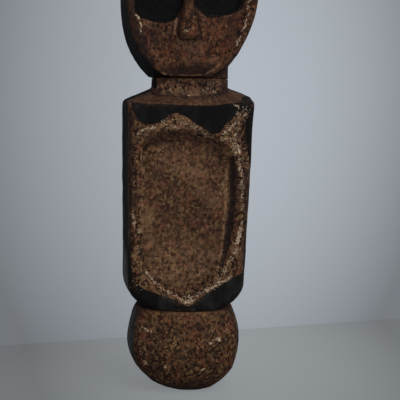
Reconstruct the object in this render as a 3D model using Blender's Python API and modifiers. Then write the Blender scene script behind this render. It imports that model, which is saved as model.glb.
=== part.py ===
"""Carved ancestor figure: three carved blocks of wood, pegged one on the other.

A rounded knob is the foot. A slab with a dished belly, sloping shoulders and a neck is the torso.
A thick shield-shaped block with a hollowed face, which overhangs the neck, is the head. Two dowels
cross each seam, so that no block can turn on the one below it.

Metres, +Z up. The face looks along -Y, +X is the side of the figure's left hand, and the origin is
on the flat under the foot, below the torso's axis.
"""

import math

import bmesh
import bpy

# Clearances between pieces that touch.
SEAT_GAP = 0.0003
DOWEL_CLEARANCE = 0.0003
DOWEL_END_GAP = 0.0008

# Foot: an oval knob, cut flat below to stand on and flat above to carry the torso.
FOOT_WIDTH = 0.125
FOOT_DEPTH = 0.080
FOOT_BULGE_LEVEL = 0.058
FOOT_HEIGHT = 0.096
FOOT_LOWER_ROUNDING = 0.0605
FOOT_UPPER_ROUNDING = 0.074
FOOT_SQUARENESS = 2.5
FOOT_SKEW = 0.008

# Torso slab. Front and back are distances from the figure's axis.
TORSO_HEIGHT = 0.229
HIP_WIDTH = 0.1350
SHOULDER_WIDTH = 0.1455
TORSO_FRONT = 0.041
TORSO_BACK = 0.033
TORSO_FRONT_NARROWING = 0.005
TORSO_CORNER_RADIUS = 0.009
FRONT_CROWN = 0.003
BACK_CROWN = 0.004
HIP_CURVE = 0.028
HIP_SPAN = 0.042
HIP_EDGE_RADIUS = 0.003
HIP_CORNER_RADIUS = 0.026
SHOULDER_RADIUS = 0.0065
SHOULDER_EDGE_RADIUS = 0.0025

# Shoulders slope from the slab's top edge up to the neck's root, which lies lower in front.
# The right shoulder lies higher than the left: the tilt is a slope along +X.
SHOULDER_TILT = 0.040
SHOULDER_RISE = 0.009
NECK_WIDTH = 0.082
NECK_FRONT = 0.025
NECK_BACK = 0.027
NECK_CORNER_RADIUS = 0.012
NECK_HEIGHT = 0.0125
NECK_ROOT_SLOPE = 0.16

# The seam between neck and head rises towards the front.
SEAM_SLOPE = 0.10

# Belly: a hollow with an arched top and a pointed foot. Its sloping walls meet a flat floor.
BELLY_WIDTH = 0.120
BELLY_OFFSET = 0.0015
BELLY_TOP = 0.2025
BELLY_POINT = 0.0058
BELLY_ARCH_LEFT = 0.025
BELLY_ARCH_RIGHT = 0.070
BELLY_TAPER_LEFT = 0.055
BELLY_TAPER_RIGHT = 0.095
BELLY_TAPER_SQUARENESS = 1.5
BELLY_DEPTH = 0.0095
BELLY_WALL_TOP = 0.016
BELLY_WALL_LEFT = 0.008
BELLY_WALL_RIGHT = 0.018
BELLY_WALL_POINT = 0.009

# Two facets, cut back below the belly, that rise to the sides.
LOINS_POINT = 0.002
LOINS_RISE_LEFT = 0.026
LOINS_RISE_RIGHT = 0.038
LOINS_CUT_ANGLE = math.radians(15.0)

# Head: a block that narrows from back to front. Heights start at its widest level.
HEAD_WIDTH = 0.152
FACE_WIDTH = 0.138
HEAD_FRONT = 0.035
HEAD_BACK = 0.029
JAW_HEIGHT = 0.0905
CROWN_HEIGHT = 0.082
JAW_WIDTH = 0.080
CHIN_WIDTH = 0.049
CROWN_SQUARENESS = 2.2
HEAD_OFFSET = -0.0015
HEAD_LEAN = 0.055
FACE_EDGE_RADIUS = 0.004
HEAD_BACK_RADIUS = 0.008
HEAD_BACK_CROWN = 0.004
CHIN_CLEARANCE = 0.0012
NAPE_HEIGHT = 0.030

# Face: a hollow inside a raised rim that fades out at the chin, two sockets and a facet below.
FACE_RIM = 0.009
BROW_HEIGHT = 0.031
FACE_HOLLOW_DEPTH = 0.0045
FACE_WALL_RUN = 0.0045
FACE_HOLLOW_CHIN = 0.0085
FACE_OFFSET = -0.0055
CHIN_FACET_HEIGHT = 0.0145
CHIN_FACET_WIDTH = 0.066
CHIN_FACET_SET_BACK = 0.005
SOCKET_WIDTH = 0.051
SOCKET_HEIGHT = 0.044
SOCKET_SQUARENESS = 2.6
SOCKET_DEPTH = 0.0045
SOCKET_WALL_RUN = 0.003
SOCKET_SPACING = 0.062
SOCKET_LEVEL_LEFT = -0.0085
SOCKET_LEVEL_RIGHT = -0.0005

# Nose: a wedge, wide and proud at the tip, narrow and low at the bridge.
NOSE_BOTTOM = -0.0478
NOSE_TIP_LEVEL = -0.042
NOSE_BRIDGE_LEVEL = -0.008
NOSE_TOP = 0.026
NOSE_BOTTOM_WIDTH = 0.0205
NOSE_TIP_WIDTH = 0.0235
NOSE_BRIDGE_WIDTH = 0.0105
NOSE_BOTTOM_RELIEF = 0.0095
NOSE_TIP_RELIEF = 0.0115
NOSE_BRIDGE_RELIEF = 0.0048

# Dowels: two across each seam.
HEAD_DOWEL_DIAMETER = 0.014
HEAD_DOWEL_LENGTH = 0.052
HEAD_DOWEL_SPACING = 0.038
FOOT_DOWEL_DIAMETER = 0.016
FOOT_DOWEL_LENGTH = 0.064
FOOT_DOWEL_SPACING = 0.044
DOWEL_CHAMFER = 0.0012

# How finely the round stretches are cut.
CORNER_STEPS = 5
EDGE_STEPS = 4
CROWN_STEPS = 6
SLAB_RINGS = 6
DOME_STEPS = 14
JAW_STEPS = 10
CHIN_STEPS = 3
ARCH_STEPS = 9
FACET_STEPS = 6
NOSE_STEPS = 3
HEAD_LAYERS = 5
KNOB_SEGMENTS = 48
KNOB_RINGS = 12
SOCKET_STEPS = 7
DOWEL_SEGMENTS = 24
SMOOTH_ANGLE = math.radians(32.0)

# A cutter runs this far past the face that it starts from.
CUTTER_OVERRUN = 0.020

TORSO_BASE = FOOT_HEIGHT + SEAT_GAP
NECK_ROOT = TORSO_HEIGHT + SHOULDER_RISE
NECK_TOP = NECK_ROOT + NECK_HEIGHT
SEAM_LEVEL = TORSO_BASE + NECK_TOP
HEAD_LEVEL = SEAM_LEVEL + SEAT_GAP + CHIN_CLEARANCE + JAW_HEIGHT
FACE_CHIN = -JAW_HEIGHT + SEAM_SLOPE * HEAD_FRONT


def lerp(a, b, share):
    """The value that lies this share of the way from a to b."""
    return a + (b - a) * share


def clear_scene():
    """Remove every object that the scene starts with."""
    for old in list(bpy.data.objects):
        bpy.data.objects.remove(old, do_unlink=True)


def make_collection(name):
    """A new collection in the scene."""
    made = bpy.data.collections.new(name)
    bpy.context.scene.collection.children.link(made)
    return made


def make_material(name, colour, roughness):
    """A plain wood finish: colour is linear red, green and blue."""
    material = bpy.data.materials.new(name)
    material.use_nodes = True
    shader = material.node_tree.nodes["Principled BSDF"]
    shader.inputs["Base Color"].default_value = (*colour, 1.0)
    shader.inputs["Roughness"].default_value = roughness
    shader.inputs["Metallic"].default_value = 0.0
    material.diffuse_color = (*colour, 1.0)
    return material


def object_from_bmesh(name, shape, collection, material=None):
    """Turn a bmesh into an object in the collection, with its faces pointing out."""
    bmesh.ops.recalc_face_normals(shape, faces=shape.faces)
    mesh = bpy.data.meshes.new(name)
    shape.to_mesh(mesh)
    shape.free()
    if material is not None:
        mesh.materials.append(material)
    made = bpy.data.objects.new(name, mesh)
    collection.objects.link(made)
    return made


def hide_as_cutter(cutter):
    """Leave a helper shape out of the render and draw it as wire."""
    cutter.hide_render = True
    cutter.display_type = "WIRE"
    return cutter


def boolean(target, cutter, operation):
    """Cut target with cutter, or join them."""
    modifier = target.modifiers.new(f"{operation.lower()}_{cutter.name}", "BOOLEAN")
    modifier.operation = operation
    modifier.object = cutter
    modifier.solver = "EXACT"


def finish_surface(piece):
    """Apply a piece's modifiers, then shade it smooth up to its sharp edges."""
    evaluated = piece.evaluated_get(bpy.context.evaluated_depsgraph_get())
    mesh = bpy.data.meshes.new_from_object(evaluated)
    piece.modifiers.clear()
    piece.data = mesh
    mesh.shade_smooth()
    mesh.set_sharp_from_angle(angle=SMOOTH_ANGLE)


def loft(rings):
    """A closed skin through rings of equally many points, with a cap on each end."""
    shape = bmesh.new()
    rows = [[shape.verts.new(point) for point in ring] for ring in rings]
    for lower, upper in zip(rows, rows[1:]):
        for i in range(len(lower)):
            j = (i + 1) % len(lower)
            shape.faces.new((lower[i], lower[j], upper[j], upper[i]))
    shape.faces.new(rows[0][::-1])
    shape.faces.new(rows[-1])
    return shape


def superellipse(half_width, half_height, squareness, start, end, steps):
    """Points of a superellipse between two angles, without the last one."""
    points = []
    for i in range(steps):
        turn = lerp(start, end, i / steps)
        across, up = math.cos(turn), math.sin(turn)
        x = math.copysign(abs(across) ** (2.0 / squareness), across)
        z = math.copysign(abs(up) ** (2.0 / squareness), up)
        points.append((half_width * x, half_height * z))
    return points


def corner_arc(x, y, radius, start):
    """A quarter turn about a corner's centre, without its last point."""
    return [
        (x + across, y + up)
        for across, up in superellipse(radius, radius, 2.0, start, start + math.pi / 2, CORNER_STEPS)
    ]


def block_section(half_width, front, back, radius, narrowing=0.0, front_crown=0.0, back_crown=0.0):
    """Outline of a carved block seen from above, anticlockwise from the left end of its front.

    The front is narrower than the back by narrowing on each side, the four corners are arcs,
    and the front and back bulge by their crowns, which count in front and back.
    """
    quarter = math.pi / 2
    front_half = half_width - narrowing - radius
    back_half = half_width - radius
    front_line = -front + front_crown
    back_line = back - back_crown
    points = []
    for i in range(CROWN_STEPS):
        across = lerp(-1.0, 1.0, i / CROWN_STEPS)
        points.append((across * front_half, front_line - front_crown * (1.0 - across**2)))
    points += corner_arc(front_half, front_line + radius, radius, -quarter)
    points += corner_arc(back_half, back_line - radius, radius, 0.0)
    for i in range(CROWN_STEPS):
        across = lerp(1.0, -1.0, i / CROWN_STEPS)
        points.append((across * back_half, back_line + back_crown * (1.0 - across**2)))
    points += corner_arc(-back_half, back_line - radius, radius, quarter)
    points += corner_arc(-front_half, front_line + radius, radius, 2 * quarter)
    return points


def slab_half_width(level):
    """Half the slab's width at a height above its base. Below the hips it draws in like a hull."""
    half = lerp(HIP_WIDTH, SHOULDER_WIDTH, level / TORSO_HEIGHT) / 2
    below_hips = max(0.0, HIP_CURVE - level)
    return half * math.sqrt(1.0 - (below_hips / HIP_SPAN) ** 2)


def slab_ring(level, side_inset=0.0, edge_inset=0.0, radius=TORSO_CORNER_RADIUS):
    """A ring of the slab, drawn in at the sides and at front and back to round its ends."""
    section = block_section(
        slab_half_width(level) - side_inset,
        TORSO_FRONT - edge_inset,
        TORSO_BACK - edge_inset,
        radius,
        TORSO_FRONT_NARROWING,
        FRONT_CROWN,
        BACK_CROWN,
    )
    tilt = SHOULDER_TILT * level / TORSO_HEIGHT
    return [(x, y, level + tilt * x) for x, y in section]


def neck_ring(level, slope, tilt=0.0):
    """A ring of the neck, at a level that climbs along +Y by slope and along +X by tilt."""
    section = block_section(
        NECK_WIDTH / 2, NECK_FRONT, NECK_BACK, NECK_CORNER_RADIUS, 0.0, FRONT_CROWN, BACK_CROWN
    )
    return [(x, y, level + slope * y + tilt * x) for x, y in section]


def torso_rings():
    """Rings of the torso from its underside to the top of the neck."""
    rings = []
    for i in range(EDGE_STEPS + 1):
        share = 1.0 - i / EDGE_STEPS
        rings.append(
            slab_ring(
                HIP_CURVE * (1.0 - share),
                0.0,
                HIP_EDGE_RADIUS * share**2,
                lerp(TORSO_CORNER_RADIUS, HIP_CORNER_RADIUS, share),
            )
        )
    for i in range(1, SLAB_RINGS):
        rings.append(slab_ring(lerp(HIP_CURVE, TORSO_HEIGHT - SHOULDER_RADIUS, i / SLAB_RINGS)))
    for i in range(EDGE_STEPS):
        turn = math.pi / 2 * i / EDGE_STEPS
        drawn_in = 1.0 - math.cos(turn)
        rings.append(
            slab_ring(
                TORSO_HEIGHT - SHOULDER_RADIUS * (1.0 - math.sin(turn)),
                SHOULDER_RADIUS * drawn_in,
                SHOULDER_EDGE_RADIUS * drawn_in,
            )
        )
    rings.append(neck_ring(NECK_ROOT, NECK_ROOT_SLOPE, SHOULDER_TILT))
    rings.append(neck_ring(NECK_TOP, -SEAM_SLOPE))
    return rings


def belly_outline(left, right, top, point):
    """Outline of the belly hollow, anticlockwise from its right side.

    Each side has an arch above, a straight stretch and a taper below that ends in the point.
    """
    quarter = math.pi / 2
    spring_left = BELLY_TOP - BELLY_ARCH_LEFT
    spring_right = BELLY_TOP - BELLY_ARCH_RIGHT
    taper_left = BELLY_POINT + BELLY_TAPER_LEFT
    taper_right = BELLY_POINT + BELLY_TAPER_RIGHT
    quarters = (
        (right, spring_right, top - spring_right, 2.0, 0.0),
        (left, spring_left, top - spring_left, 2.0, quarter),
        (left, taper_left, taper_left - point, BELLY_TAPER_SQUARENESS, 2 * quarter),
        (right, taper_right, taper_right - point, BELLY_TAPER_SQUARENESS, 3 * quarter),
    )
    points = []
    for width, level, height, squareness, start in quarters:
        arc = superellipse(width, height, squareness, start, start + quarter, ARCH_STEPS)
        points += [(x, level + z) for x, z in arc]
    return points


def head_axis(z):
    """Where the leaning middle of the head's outline lies at height z."""
    return HEAD_OFFSET + HEAD_LEAN * z


def shield_outline(half_width, crown, jaw, half_chin, inset=0.0):
    """The head's outline about its widest level, clockwise from the top.

    A dome lies above. The jaw below is part of an ellipse, cut flat where it is as wide as the chin.
    """
    half_width -= inset
    crown -= inset
    jaw -= inset
    half_chin -= inset
    right_half = [
        (x, z)
        for z, x in superellipse(crown, half_width, CROWN_SQUARENESS, 0.0, math.pi / 2, DOME_STEPS)
    ]
    for i in range(JAW_STEPS + 1):
        share = i / JAW_STEPS
        x = math.sqrt(half_width**2 - share**2 * (half_width**2 - half_chin**2))
        right_half.append((x, -jaw * share))
    for i in range(1, CHIN_STEPS + 1):
        right_half.append((half_chin * (1.0 - i / CHIN_STEPS), -jaw))
    left_half = [(-x, z) for x, z in reversed(right_half[1:-1])]
    return [(x + head_axis(z), z) for x, z in right_half + left_half]


def head_layer(y, inset):
    """A slice of the head at depth y: the back is wider, with a broad jaw, and the front is narrower."""
    share = (HEAD_BACK - y) / (HEAD_BACK + HEAD_FRONT)
    outline = shield_outline(
        lerp(HEAD_WIDTH, FACE_WIDTH, share) / 2,
        CROWN_HEIGHT,
        JAW_HEIGHT + SEAM_SLOPE * y,
        lerp(JAW_WIDTH, CHIN_WIDTH, share) / 2,
        inset,
    )
    return [(x, y, z) for x, z in outline]


def head_layers():
    """Slices of the head from its crowned back to the face, with both edges rounded over."""
    shoulder = HEAD_BACK - HEAD_BACK_CROWN
    innermost = head_layer(shoulder, HEAD_BACK_RADIUS)
    layers = []
    for share in (0.35, 0.7):
        bulge = HEAD_BACK_CROWN * (1.0 - share**2)
        layers.append([(x * share, y + bulge, z * share) for x, y, z in innermost])
    for i in range(EDGE_STEPS + 1):
        turn = math.pi / 2 * i / EDGE_STEPS
        layers.append(
            head_layer(
                shoulder - HEAD_BACK_RADIUS * (1.0 - math.cos(turn)),
                HEAD_BACK_RADIUS * (1.0 - math.sin(turn)),
            )
        )
    for i in range(1, HEAD_LAYERS):
        y = lerp(shoulder - HEAD_BACK_RADIUS, -HEAD_FRONT + FACE_EDGE_RADIUS, i / HEAD_LAYERS)
        layers.append(head_layer(y, 0.0))
    for i in range(EDGE_STEPS + 1):
        turn = math.pi / 2 * i / EDGE_STEPS
        layers.append(
            head_layer(
                -HEAD_FRONT + FACE_EDGE_RADIUS * (1.0 - math.sin(turn)),
                FACE_EDGE_RADIUS * (1.0 - math.cos(turn)),
            )
        )
    return layers


def hollow_cutter(name, mouth, floor, surface, depth, cutters, depth_at=None):
    """A cutter for a hollow in a front face, with walls that slope from its mouth to its floor.

    The floor lies at depth, or at the depth that depth_at gives for a height.
    """
    reach = CUTTER_OVERRUN / depth
    rings = [
        [
            (mx + (mx - fx) * reach, surface - CUTTER_OVERRUN, mz + (mz - fz) * reach)
            for (mx, mz), (fx, fz) in zip(mouth, floor)
        ],
        [(x, surface, z) for x, z in mouth],
        [(x, surface + (depth_at(z) if depth_at else depth), z) for x, z in floor],
    ]
    return hide_as_cutter(object_from_bmesh(name, loft(rings), cutters))


def dowel_cylinder(name, diameter, length, collection, material=None):
    """An upright cylinder about its own origin."""
    shape = bmesh.new()
    bmesh.ops.create_cone(
        shape, cap_ends=True, segments=DOWEL_SEGMENTS,
        radius1=diameter / 2, radius2=diameter / 2, depth=length,
    )
    return object_from_bmesh(name, shape, collection, material)


def make_dowels(place, pieces, level, diameter, length, spacing, finish, collection, cutters):
    """Two dowels across a seam, and the mortises for them in the pieces above and below."""
    made = []
    for side, x in (("left", -spacing / 2), ("right", spacing / 2)):
        dowel = dowel_cylinder(f"{place}_dowel_{side}", diameter, length, collection, finish)
        dowel.location = (x, 0.0, level)
        chamfer = dowel.modifiers.new("chamfer", "BEVEL")
        chamfer.width = DOWEL_CHAMFER
        chamfer.segments = 1
        chamfer.limit_method = "ANGLE"
        mortise = dowel_cylinder(
            f"{place}_mortise_{side}",
            diameter + 2 * DOWEL_CLEARANCE,
            length + 2 * DOWEL_END_GAP,
            cutters,
        )
        mortise.location = dowel.location
        hide_as_cutter(mortise)
        for piece in pieces:
            boolean(piece, mortise, "DIFFERENCE")
        made.append(dowel)
    return made


def foot_ring(height, rounding):
    """A ring of the knob, at a height above its bulge, on an arc with this upright half axis."""
    share = math.sqrt(1.0 - (height / rounding) ** 2)
    section = superellipse(
        FOOT_WIDTH / 2 * share, FOOT_DEPTH / 2 * share, FOOT_SQUARENESS, 0.0, 2 * math.pi, KNOB_SEGMENTS
    )
    skew = FOOT_SKEW * (min(height, 0.0) / FOOT_BULGE_LEVEL) ** 2
    middle = (TORSO_BACK - TORSO_FRONT) / 2
    return [(x + skew, y + middle, FOOT_BULGE_LEVEL + height) for x, y in section]


def make_foot(finish, collection):
    """The knob: an oval that is cut flat below and above, with its underside drawn to one side."""
    lowest = math.asin(FOOT_BULGE_LEVEL / FOOT_LOWER_ROUNDING)
    highest = math.asin((FOOT_HEIGHT - FOOT_BULGE_LEVEL) / FOOT_UPPER_ROUNDING)
    rings = []
    for i in range(KNOB_RINGS):
        turn = lowest * (1.0 - i / KNOB_RINGS)
        rings.append(foot_ring(-FOOT_LOWER_ROUNDING * math.sin(turn), FOOT_LOWER_ROUNDING))
    for i in range(EDGE_STEPS + 1):
        turn = highest * i / EDGE_STEPS
        rings.append(foot_ring(FOOT_UPPER_ROUNDING * math.sin(turn), FOOT_UPPER_ROUNDING))
    return object_from_bmesh("foot", loft(rings), collection, finish)


def loins_cutter(name, side, rise, cutters):
    """A wedge that cuts the facet below the belly on one side, given as -1 or 1."""
    half = SHOULDER_WIDTH / 2
    tangent = math.tan(LOINS_CUT_ANGLE)
    rings = []
    for x in (-CUTTER_OVERRUN / 10, half + CUTTER_OVERRUN):
        edge = LOINS_POINT + rise * x / half
        above = edge + CUTTER_OVERRUN / tangent
        below = edge - TORSO_FRONT / tangent
        front = -TORSO_FRONT - CUTTER_OVERRUN
        rings.append([(side * x, front, above), (side * x, 0.0, below), (side * x, front, below)])
    return hide_as_cutter(object_from_bmesh(name, loft(rings), cutters))


def make_torso(finish, collection, cutters):
    """The slab with its shoulders and neck, its belly hollowed and its loins faceted."""
    torso = object_from_bmesh("torso", loft(torso_rings()), collection, finish)
    torso.location = (0.0, 0.0, TORSO_BASE)
    half = BELLY_WIDTH / 2
    belly = hollow_cutter(
        "belly_hollow",
        belly_outline(half, half, BELLY_TOP, BELLY_POINT),
        belly_outline(
            half - BELLY_WALL_LEFT, half - BELLY_WALL_RIGHT,
            BELLY_TOP - BELLY_WALL_TOP, BELLY_POINT + BELLY_WALL_POINT,
        ),
        -TORSO_FRONT,
        BELLY_DEPTH,
        cutters,
    )
    loins_left = loins_cutter("loins_left", -1, LOINS_RISE_LEFT, cutters)
    loins_right = loins_cutter("loins_right", 1, LOINS_RISE_RIGHT, cutters)
    for cutter in (belly, loins_left, loins_right):
        cutter.location = torso.location
        boolean(torso, cutter, "DIFFERENCE")
    belly.location.x += BELLY_OFFSET
    return torso


def nose_wedge(cutters):
    """The nose, lofted from its underside up to the bridge and on to the brow."""
    floor = HEAD_FRONT - FACE_HOLLOW_DEPTH
    root = floor - 2 * SOCKET_DEPTH
    stations = [(NOSE_BOTTOM, NOSE_BOTTOM_WIDTH, NOSE_BOTTOM_RELIEF)]
    for i in range(NOSE_STEPS + 1):
        share = i / NOSE_STEPS
        stations.append(
            (
                lerp(NOSE_TIP_LEVEL, NOSE_BRIDGE_LEVEL, share),
                lerp(NOSE_TIP_WIDTH, NOSE_BRIDGE_WIDTH, share),
                lerp(NOSE_TIP_RELIEF, NOSE_BRIDGE_RELIEF, share),
            )
        )
    stations.append((NOSE_TOP, NOSE_BRIDGE_WIDTH, NOSE_BRIDGE_RELIEF))
    rings = []
    for level, width, relief in stations:
        radius = min(0.4 * width, 0.9 * relief)
        section = block_section(width / 2, floor + relief, -root, radius)
        rings.append([(x + FACE_OFFSET, y, level) for x, y in section])
    return hide_as_cutter(object_from_bmesh("nose", loft(rings), cutters))


def socket_cutter(name, x, level, cutters):
    """A shallow rounded scoop for one eye socket."""
    def outline(inset):
        points = superellipse(
            SOCKET_WIDTH / 2 - inset, SOCKET_HEIGHT / 2 - inset,
            SOCKET_SQUARENESS, 0.0, 2 * math.pi, 4 * SOCKET_STEPS,
        )
        return [(x + across, level + up) for across, up in points]

    surface = -HEAD_FRONT + FACE_HOLLOW_DEPTH
    return hollow_cutter(name, outline(0.0), outline(SOCKET_WALL_RUN), surface, SOCKET_DEPTH, cutters)


def chin_cutter(cutters):
    """A wedge with an arched top that takes the lower edge of the face back under the chin."""
    slope = CHIN_FACET_SET_BACK / CHIN_FACET_HEIGHT
    back = -HEAD_FRONT + slope * (CHIN_FACET_HEIGHT + CUTTER_OVERRUN)
    front = -HEAD_FRONT - CUTTER_OVERRUN
    rings = []
    for i in range(FACET_STEPS + 1):
        across = lerp(-1.0, 1.0, i / FACET_STEPS)
        drop = CHIN_FACET_HEIGHT * across**2
        x = head_axis(FACE_CHIN) + across * CHIN_FACET_WIDTH / 2
        top = FACE_CHIN + CHIN_FACET_HEIGHT - drop
        bottom = FACE_CHIN - CUTTER_OVERRUN - drop
        rings.append(
            [
                (x, -HEAD_FRONT - slope * CUTTER_OVERRUN, top + CUTTER_OVERRUN),
                (x, back, bottom),
                (x, front, bottom),
                (x, front, top + CUTTER_OVERRUN),
            ]
        )
    return hide_as_cutter(object_from_bmesh("chin_facet", loft(rings), cutters))


def face_cutter(cutters):
    """A cutter for the hollow inside the face's rim, deep at the brow and shallow at the chin."""
    half = FACE_WIDTH / 2 - FACE_RIM
    jaw = -FACE_CHIN - FACE_HOLLOW_CHIN
    half_chin = CHIN_WIDTH / 2

    def depth_at(z):
        """Depth of the hollow's floor at height z."""
        return FACE_HOLLOW_DEPTH * lerp(0.2, 1.0, min(1.0, (z + jaw) / jaw))

    return hollow_cutter(
        "face_hollow",
        shield_outline(half, BROW_HEIGHT, jaw, half_chin),
        shield_outline(half, BROW_HEIGHT, jaw, half_chin, FACE_WALL_RUN),
        -HEAD_FRONT,
        FACE_HOLLOW_DEPTH,
        cutters,
        depth_at,
    )


def make_head(finish, collection, cutters):
    """The head block with its hollowed face, and the nape that stands on the neck."""
    head = object_from_bmesh("head", loft(head_layers()), collection, finish)
    hollows = [face_cutter(cutters)]
    for name, side, level in (("left", -1, SOCKET_LEVEL_LEFT), ("right", 1, SOCKET_LEVEL_RIGHT)):
        x = FACE_OFFSET + side * SOCKET_SPACING / 2
        hollows.append(socket_cutter(f"socket_{name}", x, level, cutters))
    nose = nose_wedge(cutters)
    chin = chin_cutter(cutters)
    for piece in (head, *hollows, nose, chin):
        piece.location = (0.0, 0.0, HEAD_LEVEL)
    for hollow in hollows:
        boolean(head, hollow, "DIFFERENCE")
    boolean(head, nose, "UNION")
    boolean(head, chin, "DIFFERENCE")

    nape_rings = [neck_ring(NECK_TOP + SEAT_GAP, -SEAM_SLOPE), neck_ring(NECK_TOP + NAPE_HEIGHT, 0.0)]
    nape = hide_as_cutter(object_from_bmesh("nape", loft(nape_rings), cutters))
    nape.location = (0.0, 0.0, TORSO_BASE)
    boolean(head, nape, "UNION")
    return head


def main():
    """Build the figure: foot, torso and head, then the dowels across the two seams."""
    clear_scene()
    figure = make_collection("ancestor_figure")
    cutters = make_collection("cutters")
    stained_wood = make_material("stained_wood", (0.062, 0.030, 0.017), 0.82)
    pale_wood = make_material("pale_wood", (0.300, 0.190, 0.100), 0.70)

    foot = make_foot(stained_wood, figure)
    torso = make_torso(stained_wood, figure, cutters)
    head = make_head(stained_wood, figure, cutters)
    foot_dowels = make_dowels(
        "foot", (foot, torso), FOOT_HEIGHT + SEAT_GAP / 2,
        FOOT_DOWEL_DIAMETER, FOOT_DOWEL_LENGTH, FOOT_DOWEL_SPACING, pale_wood, figure, cutters,
    )
    head_dowels = make_dowels(
        "head", (torso, head), SEAM_LEVEL + SEAT_GAP / 2,
        HEAD_DOWEL_DIAMETER, HEAD_DOWEL_LENGTH, HEAD_DOWEL_SPACING, pale_wood, figure, cutters,
    )

    axis = bpy.data.objects.new("figure_axis", None)
    figure.objects.link(axis)
    for piece in (foot, torso, head, *foot_dowels, *head_dowels):
        piece.parent = axis
        finish_surface(piece)


main()
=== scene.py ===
"""Carved ancestor figure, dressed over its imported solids.

Each of the three wooden blocks is a fine skin made from its own solid. Shallow grooves are cut into
it, Geometry Nodes carve it with tool marks and scatter crumbs of caked pigment on it, and painted
zones and traces of pigment are stored on its points for the materials to read.

Metres, +Z up, the face looks along -Y. Zones on the figure are written in millimetres.
"""

import logging
import math
from dataclasses import dataclass
from enum import Enum

import bmesh
import bpy
import numpy as np
from bpy.types import ID, Material, Node, NodeTree, Object
from mathutils import Matrix, Vector


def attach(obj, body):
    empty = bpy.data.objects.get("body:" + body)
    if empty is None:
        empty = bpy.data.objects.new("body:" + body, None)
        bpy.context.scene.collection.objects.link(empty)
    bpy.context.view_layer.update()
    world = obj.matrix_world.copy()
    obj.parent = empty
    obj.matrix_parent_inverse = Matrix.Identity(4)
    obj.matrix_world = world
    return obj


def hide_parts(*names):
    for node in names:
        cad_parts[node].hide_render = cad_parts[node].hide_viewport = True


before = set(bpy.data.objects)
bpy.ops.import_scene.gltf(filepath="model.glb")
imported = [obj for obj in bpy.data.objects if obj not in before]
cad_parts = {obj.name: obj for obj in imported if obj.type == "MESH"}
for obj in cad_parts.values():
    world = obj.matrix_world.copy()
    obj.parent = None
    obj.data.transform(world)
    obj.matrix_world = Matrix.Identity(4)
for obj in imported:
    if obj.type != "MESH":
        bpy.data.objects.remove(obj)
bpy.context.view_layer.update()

Array = np.ndarray
Socket = bpy.types.NodeSocket
Colour = tuple[float, float, float]
Point = tuple[float, float]
Outline = tuple[Point, ...]

MM = 0.001
PHOTO_WIDTH = 400.0
OUTSIDE = -5.0  # millimetres, well outside a painted zone
STAINS = ("Red", "Middle", "Dark", "Light", "Plum")
log = logging.getLogger("ancestor_figure")


class Layer(Enum):
    """What is stored on the points of a carved skin."""

    PAINT = "paint"
    CAKE = "cake"
    SHADE = "shade"
    EDGE = "edge"
    HOLLOW = "hollow"
    FREE = "free"
    SCUFF = "scuff"
    # grey dust, and painted sheen of reflected light, on the blackened zones
    DUST_AND_SHEEN = "dusty"
    # lighter worn wood, and painted highlights along edges
    RUB_AND_HIGHLIGHT = "rub"


class Slot(Enum):
    """The record's material slots."""

    STAINED = "stained_wood"
    PALE = "pale_wood"


def linear(colour: Colour) -> tuple[float, float, float, float]:
    """Turn a colour of 0 to 255 as it looks on screen into a linear one with full alpha.

    Args:
        colour: Red, green and blue from 0 to 255.

    Returns:
        Linear red, green and blue, and 1.
    """
    shares = [value / 255.0 for value in colour]
    return (*(v / 12.92 if v <= 0.04045 else ((v + 0.055) / 1.055) ** 2.4 for v in shares), 1.0)


# --- Numbers on points ---


def soft_step(value: Array, low: float, high: float) -> Array:
    """Rise smoothly from 0 at low to 1 at high."""
    share = np.clip((value - low) / (high - low), 0.0, 1.0)
    return share * share * (3.0 - 2.0 * share)


def line_distance(points: Array, line: Outline) -> Array:
    """Distance from each point to an open line.

    Args:
        points: Points in a plane, one to a row.
        line: Corners of the line.

    Returns:
        One distance for each point.
    """
    nearest = np.full(len(points), np.inf)
    for start, end in zip(line, line[1:]):
        origin = np.array(start, dtype=float)
        run = np.array(end) - origin
        along = np.clip((points - origin) @ run / max(run @ run, 1e-9), 0.0, 1.0)
        nearest = np.minimum(nearest, np.linalg.norm(points - origin - along[:, None] * run, axis=1))
    return nearest


def inside_distance(points: Array, outline: Outline) -> Array:
    """Distance from each point to a closed outline, positive inside it.

    Args:
        points: Points in a plane, one to a row.
        outline: Corners of the outline.

    Returns:
        One signed distance for each point.
    """
    closed = (*outline, outline[0])
    inside = np.zeros(len(points), dtype=bool)
    for (ax, az), (bx, bz) in zip(closed, closed[1:]):
        crosses = (az > points[:, 1]) != (bz > points[:, 1])
        rise = bz - az if bz != az else 1e-9
        inside ^= crosses & (points[:, 0] < ax + (points[:, 1] - az) * (bx - ax) / rise)
    return np.where(inside, 1.0, -1.0) * line_distance(points, closed)


def level_line(levels: Array, line: Outline) -> Array:
    """Read a line of (level, value) corners, in rising order of level, at each level."""
    return np.interp(levels, [corner[0] for corner in line], [corner[1] for corner in line])


# --- Node trees ---


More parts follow.
